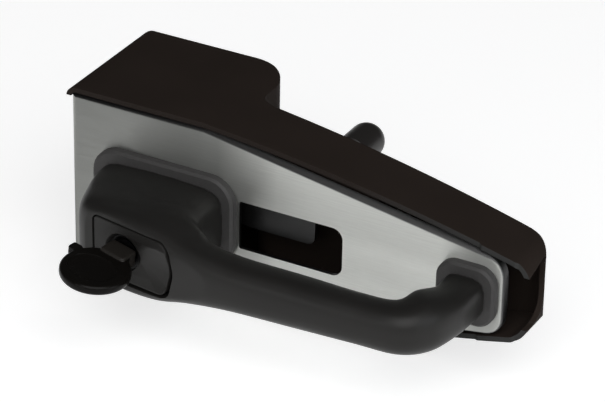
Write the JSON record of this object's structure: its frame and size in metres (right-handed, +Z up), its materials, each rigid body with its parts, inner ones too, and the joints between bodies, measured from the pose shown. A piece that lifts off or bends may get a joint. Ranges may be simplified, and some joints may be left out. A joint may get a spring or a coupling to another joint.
{
  "type": "rotary door latch with grab handle",
  "caption": "Rotary door latch on a tapered steel plate, with an outside grab handle, a keyed push button, an inside release knob and a moulded cover.",
  "frame": {"origin": "middle of the four door bolt holes, in the outer face of the flange that lies on the door's edge", "axes": "+X runs along the plate from the flange to its narrow end, +Y runs into the cabin, +Z is up"},
  "size_m": [0.2433, 0.17, 0.0948],
  "materials": {
    "plate_steel": "brushed stainless sheet",
    "plated_steel": "zinc plated",
    "black_steel": "black finish",
    "spring_steel": "bright wire",
    "lock_zinc": "dark plated die casting",
    "cover_plastic": "satin, very dark brown",
    "handle_plastic": "satin charcoal",
    "knob_plastic": "semi-gloss black",
    "key_plastic": "gloss black",
    "gasket_rubber": "soft dark grey",
    "brass": "turned"
  },
  "bodies": {
    "door_plate": {"mounting_plate": "plate_steel", "fixing_nuts": "plated_steel", "plate_standoffs": "plated_steel", "cover": "cover_plastic", "cover_screws": "black_steel", "grab_handle": "handle_plastic", "handle_inserts": "brass", "handle_screws": "black_steel", "handle_washers": "plated_steel", "left_gasket": "gasket_rubber", "right_gasket": "gasket_rubber", "button_spring": "spring_steel", "case_plate": "plated_steel", "case_spacers": "plated_steel", "rotor_pin": "plated_steel", "rotor_spring": "spring_steel", "pawl_pin": "plated_steel", "pawl_spring": "spring_steel", "lever_bracket": "black_steel", "lever_pin": "plated_steel", "lever_spring": "spring_steel"},
    "button": {"push_button": "handle_plastic", "button_clip": "spring_steel", "lock_housing": "lock_zinc"},
    "lock": {"lock_plug": "lock_zinc", "lock_tail": "plated_steel", "tail_clip": "spring_steel", "key_blade": "brass", "key_head": "key_plastic"},
    "lever": {"release_lever": "black_steel", "knob_stalk": "black_steel", "knob": "knob_plastic"},
    "pawl": {"pawl": "plated_steel", "pawl_stud": "plated_steel"},
    "rotor": {"rotor": "plated_steel"}
  },
  "joints": [
    {"name": "button_press", "type": "slide", "parent": "door_plate", "child": "button", "axis": [0.1564, 0.9877, 0], "range_m": [0, 0.0042], "stiffness_N_per_m": 800, "springref_m": -0.005},
    {"name": "key_turn", "type": "hinge", "parent": "button", "child": "lock", "pos_m": [0.059, -0.0845, 0], "axis": [0.1564, 0.9877, 0], "range_deg": [0, 90]},
    {"name": "rotor_turn", "type": "hinge", "parent": "door_plate", "child": "rotor", "pos_m": [0.0054, 0.004, 0.018], "axis": [1, 0, 0], "range_deg": [-60, 0], "stiffness_Nm_per_rad": 0.2, "springref_deg": 34.38},
    {"name": "release_lever_turn", "type": "hinge", "parent": "door_plate", "child": "lever", "pos_m": [0.034, -0.0205, 0], "axis": [0, 0, 1], "range_deg": [0, 7.05], "stiffness_Nm_per_rad": 0.1, "springref_deg": -22.92},
    {"name": "pawl_turn", "type": "hinge", "parent": "door_plate", "child": "pawl", "pos_m": [0.0054, -0.019, -0.014], "axis": [1, 0, 0], "range_deg": [0, 7.95], "stiffness_Nm_per_rad": 0.05, "springref_deg": -28.65}
  ],
  "couplings": [
    {"joint": "release_lever_turn", "follows": "button_press", "rad_per_m": 29.089},
    {"joint": "pawl_turn", "follows": "button_press", "rad_per_m": 32.829}
  ]
}
